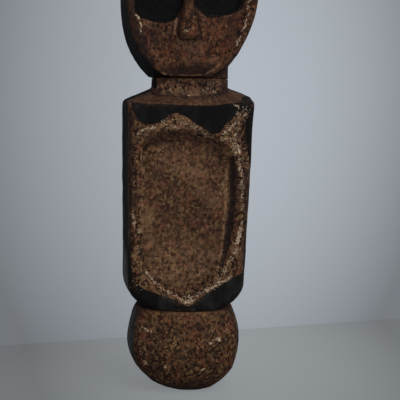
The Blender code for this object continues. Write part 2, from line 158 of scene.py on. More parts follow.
class Graph:
    """Adds nodes to one tree and joins them."""

    def __init__(self, tree: NodeTree) -> None:
        """Work on this tree."""
        self.tree = tree

    def put(self, socket: Socket, value: object) -> None:
        """Link a socket to a socket, or set its value.

        Args:
            socket: The input to feed.
            value: Another socket, or a plain value.
        """
        if isinstance(value, Socket):
            self.tree.links.new(value, socket)
        else:
            socket.default_value = value

    def feed(self, node: Node, feeds: dict) -> Node:
        """Link or set a node's inputs.

        Args:
            node: The node.
            feeds: Value or socket for each input, by name or number.

        Returns:
            The node.
        """
        for key, value in feeds.items():
            self.put(node.inputs[key], value)
        return node

    def add(self, kind: str, feeds: dict | None = None, **settings: object) -> Node:
        """Add a node.

        Args:
            kind: Blender's name for the node.
            feeds: Value or socket for each input, by name or number.
            **settings: The node's own settings.

        Returns:
            The new node.
        """
        node = self.tree.nodes.new(kind)
        for name, value in settings.items():
            setattr(node, name, value)
        return self.feed(node, feeds or {})

    def group(self, tree: NodeTree, feeds: dict) -> Node:
        """Place a shader group with its own values."""
        return self.add("ShaderNodeGroup", feeds, node_tree=tree)

    def math(self, operation: str, *values: object, clamp: bool = False) -> Socket:
        """Add a Math node on these values and return its result."""
        node = self.add("ShaderNodeMath", dict(enumerate(values)), operation=operation, use_clamp=clamp)
        return node.outputs[0]

    def steps(self, value: object, low: object, high: object) -> Socket:
        """Rise smoothly from 0 at low to 1 at high."""
        feeds = {"Value": value, "From Min": low, "From Max": high}
        return self.add("ShaderNodeMapRange", feeds, interpolation_type="SMOOTHSTEP").outputs[0]

    def blend(self, share: object, first: object, second: object) -> Socket:
        """Mix two colours by a share."""
        feeds = {0: share, 6: first, 7: second}
        return self.add("ShaderNodeMix", feeds, data_type="RGBA").outputs[2]

    def noise(self, place: object, scale: float, detail: float, roughness: float) -> Socket:
        """Noise from 0 to 1 over a place."""
        feeds = {"Vector": place, "Scale": scale, "Detail": detail, "Roughness": roughness}
        return self.add("ShaderNodeTexNoise", feeds).outputs[0]

    def vector(self, operation: str, *values: object) -> Socket:
        """Add a Vector Math node on these values and return its vector."""
        return self.add("ShaderNodeVectorMath", dict(enumerate(values)), operation=operation).outputs[0]

    def scaled(self, vector: object, factor: object) -> Socket:
        """Multiply a vector by a number."""
        return self.add("ShaderNodeVectorMath", {0: vector, "Scale": factor}, operation="SCALE").outputs[0]

    def stretch(self, place: object, upright: float) -> Socket:
        """Multiply a place's height by a factor, so that a pattern on it gets longer along the grain."""
        return self.vector("MULTIPLY", place, (1.0, 1.0, upright))

    def warp(self, place: object, scale: float, reach: float) -> Socket:
        """Shift a place by noise."""
        shift = self.add("ShaderNodeTexNoise", {"Vector": place, "Scale": scale}).outputs[1]
        return self.vector("MULTIPLY_ADD", shift, (reach, reach, reach), place)


def new_tree(name: str, kind: str, takes: dict[str, str], gives: dict[str, str]) -> tuple[Graph, dict, dict]:
    """Make a node group with named inputs and outputs.

    Args:
        name: The group's name.
        kind: Blender's kind of tree.
        takes: Type of each input, by name.
        gives: Type of each output, by name.

    Returns:
        The graph, its input sockets by name and its output sockets by name.
    """
    tree = bpy.data.node_groups.new(name, kind)
    for names, way in ((takes, "INPUT"), (gives, "OUTPUT")):
        for socket_name, socket_type in names.items():
            tree.interface.new_socket(socket_name, in_out=way, socket_type=f"NodeSocket{socket_type}")
    graph = Graph(tree)
    entry = graph.add("NodeGroupInput")
    leaving = graph.add("NodeGroupOutput")
    return graph, {n: entry.outputs[n] for n in takes}, {n: leaving.inputs[n] for n in gives}


def new_material(name: str) -> tuple[Material, Graph, Node, Socket]:
    """Make a material.

    Args:
        name: The material's name.

    Returns:
        The material, its graph, its Principled shader and its Object coordinates.
    """
    material = bpy.data.materials.new(name)
    material.use_nodes = True
    graph = Graph(material.node_tree)
    place = graph.add("ShaderNodeTexCoord").outputs["Object"]
    return material, graph, material.node_tree.nodes["Principled BSDF"], place


# --- Shader groups ---


def make_stained_grain() -> NodeTree:
    """Mottled stained wood: patches, blotches, pale flecks and dark pores along the grain.

    Returns:
        The shader group.
    """
    graph, takes, gives = new_tree(
        "Stained grain", "ShaderNodeTree",
        {"Vector": "Vector", **dict.fromkeys(STAINS, "Color"), "Mottle": "Float"},
        {"Color": "Color", "Roughness": "Float", "Height": "Float"},
    )
    place = takes["Vector"]
    shifted = graph.warp(place, 45.0, 0.004)
    patches = graph.steps(graph.noise(shifted, 85.0, 4.0, 0.62), 0.40, 0.60)
    blotches = graph.steps(graph.noise(shifted, 110.0, 4.0, 0.66), 0.47, 0.60)
    smudges = graph.steps(graph.noise(graph.stretch(shifted, 0.8), 270.0, 3.0, 0.66), 0.485, 0.555)
    clusters = graph.steps(graph.noise(shifted, 62.0, 3.0, 0.60), 0.44, 0.57)
    flecks = graph.steps(graph.noise(shifted, 320.0, 5.0, 0.70), 0.52, 0.59)
    plums = graph.steps(graph.noise(graph.stretch(shifted, 0.7), 48.0, 4.0, 0.62), 0.47, 0.60)
    flecks = graph.math("MULTIPLY", flecks, graph.math("MULTIPLY_ADD", clusters, 0.70, 0.30))
    streaks = graph.steps(graph.noise(graph.stretch(place, 0.22), 700.0, 2.0, 0.6), 0.56, 0.70)
    tone = graph.blend(patches, takes["Red"], takes["Middle"])
    for marks, share, stain in (
        (plums, 0.60, "Plum"), (blotches, 0.50, "Dark"), (flecks, 0.78, "Light"), (smudges, 0.74, "Dark"),
    ):
        cover = graph.math("MULTIPLY", marks, graph.math("MULTIPLY", takes["Mottle"], share))
        tone = graph.blend(cover, tone, takes[stain])
    tone = graph.blend(graph.math("MULTIPLY", streaks, 0.35), tone, takes["Dark"])
    graph.put(gives["Color"], tone)
    rough = graph.add("ShaderNodeMapRange", {"Value": flecks, "To Min": 0.62, "To Max": 0.86}).outputs[0]
    graph.put(gives["Roughness"], rough)
    height = graph.math("MULTIPLY_ADD", flecks, 0.5, graph.math("MULTIPLY", smudges, -0.45))
    graph.put(gives["Height"], graph.math("MULTIPLY_ADD", streaks, -0.5, height))
    return graph.tree


def make_ragged_paint() -> NodeTree:
    """Cover of a painted zone with a ragged edge, lost where it is worn.

    Returns:
        The shader group.
    """
    graph, takes, gives = new_tree(
        "Ragged paint", "ShaderNodeTree",
        {"Vector": "Vector", "Distance": "Float", "Ragged": "Float", "Rubbed": "Float"},
        {"Cover": "Float"},
    )
    wander = graph.math("SUBTRACT", graph.noise(takes["Vector"], 260.0, 4.0, 0.68), 0.5)
    edge = graph.math("MULTIPLY_ADD", wander, takes["Ragged"], takes["Distance"])
    cover = graph.steps(edge, -0.35, 0.35)
    grit = graph.steps(graph.noise(takes["Vector"], 520.0, 3.0, 0.65), 0.40, 0.62)
    lost = graph.math("MULTIPLY", takes["Rubbed"], grit, clamp=True)
    graph.put(gives["Cover"], graph.math("MULTIPLY", cover, graph.math("SUBTRACT", 1.0, lost)))
    return graph.tree


def make_caked_pigment() -> NodeTree:
    """Cover of pale pigment that is left in crumbs, more of it where it is asked for, and its haze.

    Returns:
        The shader group.
    """
    graph, takes, gives = new_tree(
        "Caked pigment", "ShaderNodeTree",
        {"Vector": "Vector", "Amount": "Float"}, {"Cover": "Float", "Haze": "Float"},
    )
    crumbs = graph.noise(takes["Vector"], 560.0, 4.0, 0.66)
    lumps = graph.noise(takes["Vector"], 150.0, 2.0, 0.50)
    lumpy = graph.math("MULTIPLY_ADD", lumps, 0.35, graph.math("MULTIPLY", crumbs, 0.65))
    lifted = graph.math("MULTIPLY_ADD", takes["Amount"], 0.190, lumpy)
    graph.put(gives["Cover"], graph.steps(lifted, 0.660, 0.720))
    graph.put(gives["Haze"], graph.steps(lumpy, 0.50, 0.74))
    return graph.tree


def make_handling() -> NodeTree:
    """Wear along raised edges, and darkening in hollows that is painted shade along the grooves, both broken
    up by noise.

    Returns:
        The shader group.
    """
    graph, takes, gives = new_tree(
        "Handling", "ShaderNodeTree",
        {"Vector": "Vector", "Edge": "Float", "Hollow": "Float"},
        {"Wear": "Float", "Grime And Shade": "Float"},
    )
    uneven = graph.noise(takes["Vector"], 150.0, 4.0, 0.6)
    wear = graph.math("MULTIPLY", takes["Edge"], graph.steps(uneven, 0.34, 0.62))
    grime_and_shade = graph.math("MULTIPLY", takes["Hollow"], graph.steps(uneven, 0.25, 0.60))
    graph.put(gives["Wear"], graph.math("MINIMUM", wear, 1.0))
    graph.put(gives["Grime And Shade"], graph.math("MINIMUM", grime_and_shade, 1.0))
    return graph.tree


# --- Finishes ---


@dataclass(frozen=True)
class CarvedWoodFinish:
    """Stained wood with blackened zones, worn edges, darkening in hollows and pale pigment, with painted
    shade, sheen and highlights.
    """

    name: str
    red: Colour = (92, 56, 40)
    middle: Colour = (95, 70, 47)
    dark: Colour = (23, 14, 11)
    light: Colour = (134, 104, 74)
    plum: Colour = (66, 44, 37)
    black: Colour = (12, 11, 11)
    # grey of dust and of painted sheen of reflected light on the blackened zones
    black_dust_and_sheen: Colour = (80, 78, 75)
    worn: Colour = (104, 74, 50)
    # colour of darkening in hollows, which is painted shade along the grooves
    grime_and_shade: Colour = (22, 14, 10)
    # colour of the painted shade that the shade layer lays on
    painted_shade: Colour = (34, 25, 24)
    pigment: Colour = (172, 148, 122)
    haze: Colour = (104, 84, 60)
    # lighter worn wood, and painted highlights along edges
    rubbed_and_highlight: Colour = (132, 100, 74)
    mottle: float = 0.95
    ragged: float = 1.7
    relief: float = 0.00042

    def make(self, groups: "ShaderGroups") -> Material:
        """Build the material.

        Args:
            groups: The shader groups shared by the wooden finishes.

        Returns:
            The new material.
        """
        material, graph, shader, place = new_material(self.name)
        stored = {
            layer: graph.add("ShaderNodeAttribute", attribute_name=layer.value).outputs["Fac"]
            for layer in Layer
            if layer is not Layer.FREE
        }
        grain = graph.group(groups.grain, {
            "Vector": place, **{stain: linear(getattr(self, stain.lower())) for stain in STAINS},
            "Mottle": graph.math("MULTIPLY_ADD", stored[Layer.SCUFF], 0.55, self.mottle),
        })
        handling = graph.group(groups.handling, {
            "Vector": place, "Edge": stored[Layer.EDGE], "Hollow": stored[Layer.HOLLOW],
        })
        paint = graph.group(groups.paint, {
            "Vector": place, "Distance": stored[Layer.PAINT], "Ragged": self.ragged,
            "Rubbed": graph.math("MULTIPLY", handling.outputs["Wear"], 0.55),
        })
        cake = graph.group(groups.pigment, {"Vector": place, "Amount": stored[Layer.CAKE]})
        smear = graph.steps(graph.noise(place, 300.0, 4.0, 0.66), 0.38, 0.60)
        smear = graph.math("MULTIPLY_ADD", smear, 0.45, 0.50)
        broken = graph.steps(graph.noise(place, 210.0, 5.0, 0.72), 0.40, 0.60)
        tone = grain.outputs["Color"]
        for cover, share, colour in (
            (handling.outputs["Wear"], 0.30, self.worn), (handling.outputs["Grime And Shade"], 0.85, self.grime_and_shade),
            (cake.outputs["Haze"], 0.35, self.haze), (stored[Layer.SHADE], smear, self.painted_shade),
            (stored[Layer.RUB_AND_HIGHLIGHT], broken, self.rubbed_and_highlight),
        ):
            tone = graph.blend(graph.math("MULTIPLY", cover, share), tone, linear(colour))
        # Grey dust and painted sheen of reflected light lift the black, most on the side turned away from the
        # lamp.
        dusty = graph.steps(graph.noise(graph.stretch(place, 0.45), 52.0, 6.0, 0.72), 0.42, 0.68)
        dusty = graph.math("MULTIPLY", dusty, graph.math("MULTIPLY_ADD", stored[Layer.DUST_AND_SHEEN], 0.92, 0.06))
        dusty = graph.math("MULTIPLY_ADD", stored[Layer.DUST_AND_SHEEN], 0.24, dusty, clamp=True)
        soot = graph.blend(dusty, linear(self.black), linear(self.black_dust_and_sheen))
        tone = graph.blend(paint.outputs["Cover"], tone, soot)
        tone = graph.blend(cake.outputs["Cover"], tone, linear(self.pigment))
        rough = graph.math("MULTIPLY_ADD", paint.outputs["Cover"], 0.08, grain.outputs["Roughness"])
        rough = graph.math("MULTIPLY_ADD", cake.outputs["Cover"], 0.12, rough, clamp=True)
        bare = graph.math("MULTIPLY_ADD", paint.outputs["Cover"], -0.65, 1.0)
        height = graph.math("MULTIPLY", grain.outputs["Height"], bare)
        height = graph.math("MULTIPLY_ADD", cake.outputs["Cover"], 1.3, height)
        bump = graph.add("ShaderNodeBump", {"Height": height, "Distance": self.relief}).outputs[0]
        feeds = {"Base Color": tone, "Roughness": rough, "Specular IOR Level": 0.05, "Normal": bump}
        graph.feed(shader, feeds)
        return material


@dataclass(frozen=True)
class PigmentFinish:
    """Dry, chalky crumbs of pale pigment."""

    name: str = "caked_pigment"
    chalk: Colour = (164, 141, 118)
    dirty: Colour = (108, 86, 69)

    def make(self) -> Material:
        """Build the material.

        Returns:
            The new material.
        """
        material, graph, shader, place = new_material(self.name)
        dirt = graph.steps(graph.noise(place, 240.0, 3.0, 0.6), 0.38, 0.66)
        tone = graph.blend(dirt, linear(self.chalk), linear(self.dirty))
        grit = graph.noise(place, 2600.0, 2.0, 0.6)
        bump = graph.add("ShaderNodeBump", {"Height": grit, "Distance": 0.0002}).outputs[0]
        graph.feed(shader, {"Base Color": tone, "Roughness": 0.92, "Specular IOR Level": 0.2, "Normal": bump})
        return material


@dataclass(frozen=True)
class WhittledFinish:
    """Unstained wood of the dowels, with whittling marks."""

    name: str = "whittled_pale_wood"
    red: Colour = (150, 116, 82)
    middle: Colour = (160, 130, 94)
    dark: Colour = (104, 76, 50)
    light: Colour = (186, 158, 120)
    plum: Colour = (138, 106, 74)

    def make(self, groups: "ShaderGroups") -> Material:
        """Build the material.

        Args:
            groups: The shader groups.

        Returns:
            The new material.
        """
        material, graph, shader, place = new_material(self.name)
        grain = graph.group(groups.grain, {
            "Vector": graph.stretch(place, 0.3), "Mottle": 0.4,
            **{stain: linear(getattr(self, stain.lower())) for stain in STAINS},
        })
        bump = graph.add("ShaderNodeBump", {"Height": grain.outputs["Height"], "Distance": 0.0003}).outputs[0]
        tone, rough = grain.outputs["Color"], grain.outputs["Roughness"]
        graph.feed(shader, {"Base Color": tone, "Roughness": rough, "Normal": bump})
        return material


class ShaderGroups:
    """The shader groups that several finishes share."""

    def __init__(self) -> None:
        """Build each group once."""
        self.grain = make_stained_grain()
        self.paint = make_ragged_paint()
        self.pigment = make_caked_pigment()
        self.handling = make_handling()


# --- Geometry Nodes ---


def make_carving_tree() -> NodeTree:
    """Tool marks over a skin, and crumbs of pigment scattered on it.

    The skin wanders in long swells, is cut in shallow scoops and is scored along the grain. It moves
    only where its points are free. Crumbs lie where pigment is stored.

    Returns:
        The tree.
    """
    graph, takes, gives = new_tree(
        "Carved skin", "GeometryNodeTree",
        {"Geometry": "Geometry", "Swell": "Float", "Scoop": "Float", "Scoop Size": "Float",
         "Score": "Float", "Crumbs": "Float", "Crumb Size": "Float", "Seed": "Int",
         "Wood": "Material", "Pigment": "Material"},
        {"Geometry": "Geometry"},
    )
    here = graph.add("GeometryNodeInputPosition").outputs[0]
    normal = graph.add("GeometryNodeInputNormal").outputs[0]
    free, cake = (
        graph.add("GeometryNodeInputNamedAttribute", {"Name": layer.value}, data_type="FLOAT").outputs[0]
        for layer in (Layer.FREE, Layer.CAKE)
    )
    seed = takes["Seed"]
    drift = graph.add("ShaderNodeCombineXYZ", {0: seed, 1: seed, 2: seed}).outputs[0]
    place = graph.vector("ADD", here, drift)

    swell = graph.math("SUBTRACT", graph.noise(place, 26.0, 2.0, 0.5), 0.5)
    swell = graph.math("MULTIPLY", swell, takes["Swell"])
    bent = graph.stretch(graph.warp(place, 60.0, 0.006), 0.55)
    cells = graph.add(
        "ShaderNodeTexVoronoi",
        {"Vector": bent, "Scale": graph.math("DIVIDE", 1.0, takes["Scoop Size"]), "Smoothness": 0.35},
        feature="SMOOTH_F1",
    ).outputs["Distance"]
    scoops = graph.math("MULTIPLY", graph.math("SUBTRACT", graph.math("MULTIPLY", cells, cells), 0.25),
                        takes["Scoop"])
    scores = graph.noise(graph.stretch(place, 0.16), 520.0, 3.0, 0.6)
    scores = graph.math("MULTIPLY", graph.math("SUBTRACT", scores, 0.5), takes["Score"])
    pits = graph.math("SUBTRACT", graph.noise(place, 210.0, 3.0, 0.6), 0.5)
    pits = graph.math("MULTIPLY", pits, takes["Score"])
    total = graph.math("ADD", graph.math("ADD", swell, scoops), graph.math("ADD", scores, pits))
    offset = graph.scaled(normal, graph.math("MULTIPLY", total, free))
    skin = takes["Geometry"]
    carved = graph.add("GeometryNodeSetPosition", {"Geometry": skin, "Offset": offset}).outputs[0]
    wooden = graph.add("GeometryNodeSetMaterial", {"Geometry": carved, "Material": takes["Wood"]}).outputs[0]

    thick = graph.math("POWER", cake, 2.0)
    spread = graph.add(
        "GeometryNodeDistributePointsOnFaces",
        {"Mesh": carved, "Density": graph.math("MULTIPLY", thick, takes["Crumbs"]), "Seed": seed},
        distribute_method="RANDOM",
    )
    crumb = graph.add("GeometryNodeMeshIcoSphere", {"Radius": 1.0, "Subdivisions": 1}).outputs[0]
    bumpy = graph.add("ShaderNodeTexNoise", {"Vector": here, "Scale": 1.6}).outputs[1]
    bumpy = graph.vector("MULTIPLY_ADD", bumpy, (0.9, 0.9, 0.9), (-0.45, -0.45, -0.45))
    crumb = graph.add("GeometryNodeSetPosition", {"Geometry": crumb, "Offset": bumpy}).outputs[0]
    sizes = graph.add(
        "FunctionNodeRandomValue", {"Min": (0.35, 0.35, 0.16), "Max": (1.0, 1.0, 0.34), "Seed": seed},
        data_type="FLOAT_VECTOR",
    ).outputs[0]
    sizes = graph.scaled(sizes, takes["Crumb Size"])
    angle = graph.add("FunctionNodeRandomValue", {2: 0.0, 3: 6.28, "Seed": seed}).outputs[1]
    turn = graph.add("FunctionNodeAxisAngleToRotation", {"Axis": (0.0, 0.0, 1.0), "Angle": angle}).outputs[0]
    turned = graph.add(
        "FunctionNodeRotateRotation", {"Rotation": spread.outputs["Rotation"], "Rotate By": turn},
        rotation_space="LOCAL",
    ).outputs[0]
    crumbs = graph.add(
        "GeometryNodeInstanceOnPoints",
        {"Points": spread.outputs["Points"], "Instance": crumb, "Rotation": turned, "Scale": sizes},
    ).outputs[0]
    real = graph.add("GeometryNodeRealizeInstances", {"Geometry": crumbs}).outputs[0]
    chalky = graph.add("GeometryNodeSetMaterial", {"Geometry": real, "Material": takes["Pigment"]}).outputs[0]
    joined = graph.add("GeometryNodeJoinGeometry")
    graph.put(joined.inputs[0], chalky)
    graph.put(joined.inputs[0], wooden)
    graph.put(gives["Geometry"], joined.outputs[0])
    return graph.tree


def add_object(name: str, data: ID) -> Object:
    """Add an object with these data to the scene.

    Args:
        name: The object's name.
        data: Its mesh, lamp or camera.

    Returns:
        The new object.
    """
    thing = bpy.data.objects.new(name, data)
    bpy.context.scene.collection.objects.link(thing)
    return thing


def bake_modifiers(piece: Object) -> None:
    """Turn an object and its modifiers into a plain mesh.

    Args:
        piece: The object, which keeps its name.
    """
    depsgraph = bpy.context.evaluated_depsgraph_get()
    evaluated = piece.evaluated_get(depsgraph)
    mesh = bpy.data.meshes.new_from_object(evaluated, preserve_all_data_layers=True, depsgraph=depsgraph)
    piece.modifiers.clear()
    piece.data = mesh


# --- Blocks ---


@dataclass(frozen=True)
class Trace:
    """What is left along a line on the front: its corners, its reach to each side and its amount."""

    line: Outline
    reach: float
    amount: float

    @classmethod
    def rows(cls, *rows: tuple) -> "tuple[Trace, ...]":
        """Make a trace of each row, which gives the reach, the amount and the corners."""
        return tuple(cls(tuple(corners), reach, amount) for reach, amount, *corners in rows)


@dataclass
class CarvedBlock:
    """A wooden block of the figure: a fine carved skin over its solid.

    The traces are caked pigment, the shadows a smear of painted shade, the scuffs rough stain, the
    lighter lines worn wood and painted highlights, and the grooves are as deep as their amounts in
    millimetres and darkened with painted shade along them.
    """

    node: str
    voxel: float = 1.25 * MM
    swell: float = 1.3 * MM
    scoop: float = 0.9 * MM
    scoop_size: float = 15.0 * MM
    score: float = 0.55 * MM
    crumbs: float = 110000.0
    crumb_size: float = 0.85 * MM
    seed: int = 3
    smoothing: int = 4
    smoothing_share: float = 0.5
    edge_reach: int = 10
    edge_rise: Point = (0.10, 0.55)
    hollow_fall: Point = (0.10, 0.50)
    seam_level: float = 346.8
    seam_slope: float = 0.10
    foot_seam: float = 96.15
    seat_clear: Point = (1.2, 4.5)
    ground_clear: Point = (0.6, 4.0)
    dowel_clear: Point = (-0.5, 1.5)
    dowels: tuple[tuple[float, float, float, float], ...] = (
        (-19, 320, 374, 9.5), (19, 320, 374, 9.5),
        (-22, 63, 129.5, 10.5), (22, 63, 129.5, 10.5),
    )
    traces: tuple[Trace, ...] = ()
    shadows: tuple[Trace, ...] = ()
    scuffs: tuple[Trace, ...] = ()
    rubs_and_highlights: tuple[Trace, ...] = ()
    grooves: tuple[Trace, ...] = ()
    stroke_core: float = 0.25
    facing: Point = (0.05, 0.45)
    sideways: Point = (0.3, 0.8)

    def skin(self) -> Object:
        """Copy the solid, merge its triangles and remesh it finely.

        Returns:
            The skin.
        """
        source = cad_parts[self.node]
        shape = bmesh.new()
        shape.from_mesh(source.data)
        bmesh.ops.transform(shape, matrix=source.matrix_world, verts=shape.verts)
        bmesh.ops.remove_doubles(shape, verts=shape.verts, dist=1e-6)
        mesh = bpy.data.meshes.new(f"carved_{self.node}")
        shape.to_mesh(mesh)
        shape.free()
        piece = add_object(f"carved_{self.node}", mesh)
        remesh = piece.modifiers.new("fine_skin", "REMESH")
        remesh.mode = "VOXEL"
        remesh.voxel_size = self.voxel * 1.0
        remesh.adaptivity = 0.0
        bake_modifiers(piece)
        return piece

    def free_share(self, spots: Array) -> Array:
        """How far each point may leave the solid: not at all on seats and in mortises.

        Args:
            spots: Points in millimetres.

        Returns:
            A share from 0 to 1 for each point.
        """
        seam = np.abs(spots[:, 2] - (self.seam_level - self.seam_slope * spots[:, 1]))
        share = soft_step(seam, *self.seat_clear)
        share = share * soft_step(np.abs(spots[:, 2] - self.foot_seam), *self.seat_clear)
        share = share * soft_step(spots[:, 2], *self.ground_clear)
        for x, low, high, radius in self.dowels:
            away = np.hypot(spots[:, 0] - x, spots[:, 1]) - radius
            within = (spots[:, 2] > low) & (spots[:, 2] < high)
            share = np.where(within, share * soft_step(away, *self.dowel_clear), share)
        return share

    def paint(self, spots: Array, normals: Array) -> Array:
        """Distance into the blackened zones, in millimetres. A plain block has none."""
        return np.full(len(spots), OUTSIDE)

    def strokes(self, spots: Array, normals: Array, traces: tuple[Trace, ...]) -> Array:
        """What traces leave on the front.

        Args:
            spots: Points in millimetres.
            normals: Their normals.
            traces: The traces, seen from in front.

        Returns:
            The largest amount at each point.
        """
        flat = spots[:, (0, 2)]
        amount = np.zeros(len(spots))
        for trace in traces:
            core = self.stroke_core * trace.reach
            near = 1.0 - soft_step(line_distance(flat, trace.line), core, trace.reach)
            amount = np.maximum(amount, trace.amount * near)
        return amount * soft_step(-normals[:, 1], *self.facing)

    def shade(self, spots: Array, normals: Array) -> Array:
        """Share of painted grey-brown shade, from the shadows."""
        return self.strokes(spots, normals, self.shadows)

    def dusty(self, spots: Array, normals: Array) -> Array:
        """Share of grey dust and painted sheen on the blackened zones. A plain block has none."""
        return np.zeros(len(spots))

    def dress(self, wood: Material, pigment: Material, tree: NodeTree) -> None:
        """Make the skin, store its layers, carve it and let it stand for the solid.

        Args:
            wood: The block's finish.
            pigment: The finish of the crumbs.
            tree: The carving tree.
        """
        piece = self.skin()
        mesh = piece.data
        count = len(mesh.vertices)
        flat = np.empty(count * 3)
        mesh.vertices.foreach_get("co", flat)
        spots = flat.reshape(-1, 3) / MM
        pairs = np.empty(len(mesh.edges) * 2, dtype=np.int64)
        mesh.edges.foreach_get("vertices", pairs)
        starts, ends = pairs[0::2], pairs[1::2]
        links = np.bincount(starts, minlength=count) + np.bincount(ends, minlength=count)

        def relax(points: Array) -> Array:
            """Mean of each point's neighbours.

            Args:
                points: One row for each point of the mesh.

            Returns:
                The means, in the same order.
            """
            mean = np.empty_like(points)
            for axis in range(3):
                total = np.bincount(starts, weights=points[ends, axis], minlength=count)
                total += np.bincount(ends, weights=points[starts, axis], minlength=count)
                mean[:, axis] = total / links
            return mean

        def settle() -> Array:
            """Put the points in place and read their normals.

            Returns:
                One normal for each point.
            """
            mesh.vertices.foreach_set("co", (spots * MM).ravel())
            mesh.update()
            mesh.vertex_normals.foreach_get("vector", flat)
            return flat.reshape(-1, 3).copy()

        free = self.free_share(spots)
        for _ in range(self.smoothing):
            spots += (relax(spots) - spots) * self.smoothing_share * free[:, None]
        normals = settle()
        spots -= normals * self.strokes(spots, normals, self.grooves)[:, None] * free[:, None]
        normals = settle()

        blurred = spots.copy()
        for _ in range(self.edge_reach):
            blurred = relax(blurred)
        rise = np.einsum("ij,ij->i", spots - blurred, normals)
        # The grooves also darken the hollows: painted shade along them.
        cut = self.strokes(spots, normals, self.grooves)
        layers = {
            Layer.FREE: free,
            Layer.EDGE: soft_step(rise, *self.edge_rise),
            Layer.HOLLOW: np.maximum(soft_step(-rise, *self.hollow_fall), cut),
            Layer.PAINT: self.paint(spots, normals),
            Layer.SHADE: self.shade(spots, normals),
            Layer.CAKE: self.strokes(spots, normals, self.traces) * soft_step(free, 0.1, 0.8),
            Layer.SCUFF: self.strokes(spots, normals, self.scuffs),
            Layer.DUST_AND_SHEEN: self.dusty(spots, normals),
            Layer.RUB_AND_HIGHLIGHT: self.strokes(spots, normals, self.rubs_and_highlights),
        }
        for layer, values in layers.items():
            stored = mesh.attributes.new(layer.value, "FLOAT", "POINT")
            stored.data.foreach_set("value", np.ascontiguousarray(values, dtype=np.float32))

        modifier = piece.modifiers.new("carving", "NODES")
        modifier.node_group = tree
        values = {
            "Swell": self.swell, "Scoop": self.scoop, "Scoop Size": self.scoop_size, "Score": self.score,
            "Crumbs": self.crumbs, "Crumb Size": self.crumb_size, "Seed": self.seed,
            "Wood": wood, "Pigment": pigment,
        }
        for item in tree.interface.items_tree:
            if item.item_type == "SOCKET" and item.in_out == "INPUT" and item.name in values:
                modifier[item.identifier] = values[item.name]
        bake_modifiers(piece)
        piece.data.shade_smooth()
        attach(piece, "root")
        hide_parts(self.node)
        log.info("%s: %d points, %d faces", piece.name, count, len(piece.data.polygons))


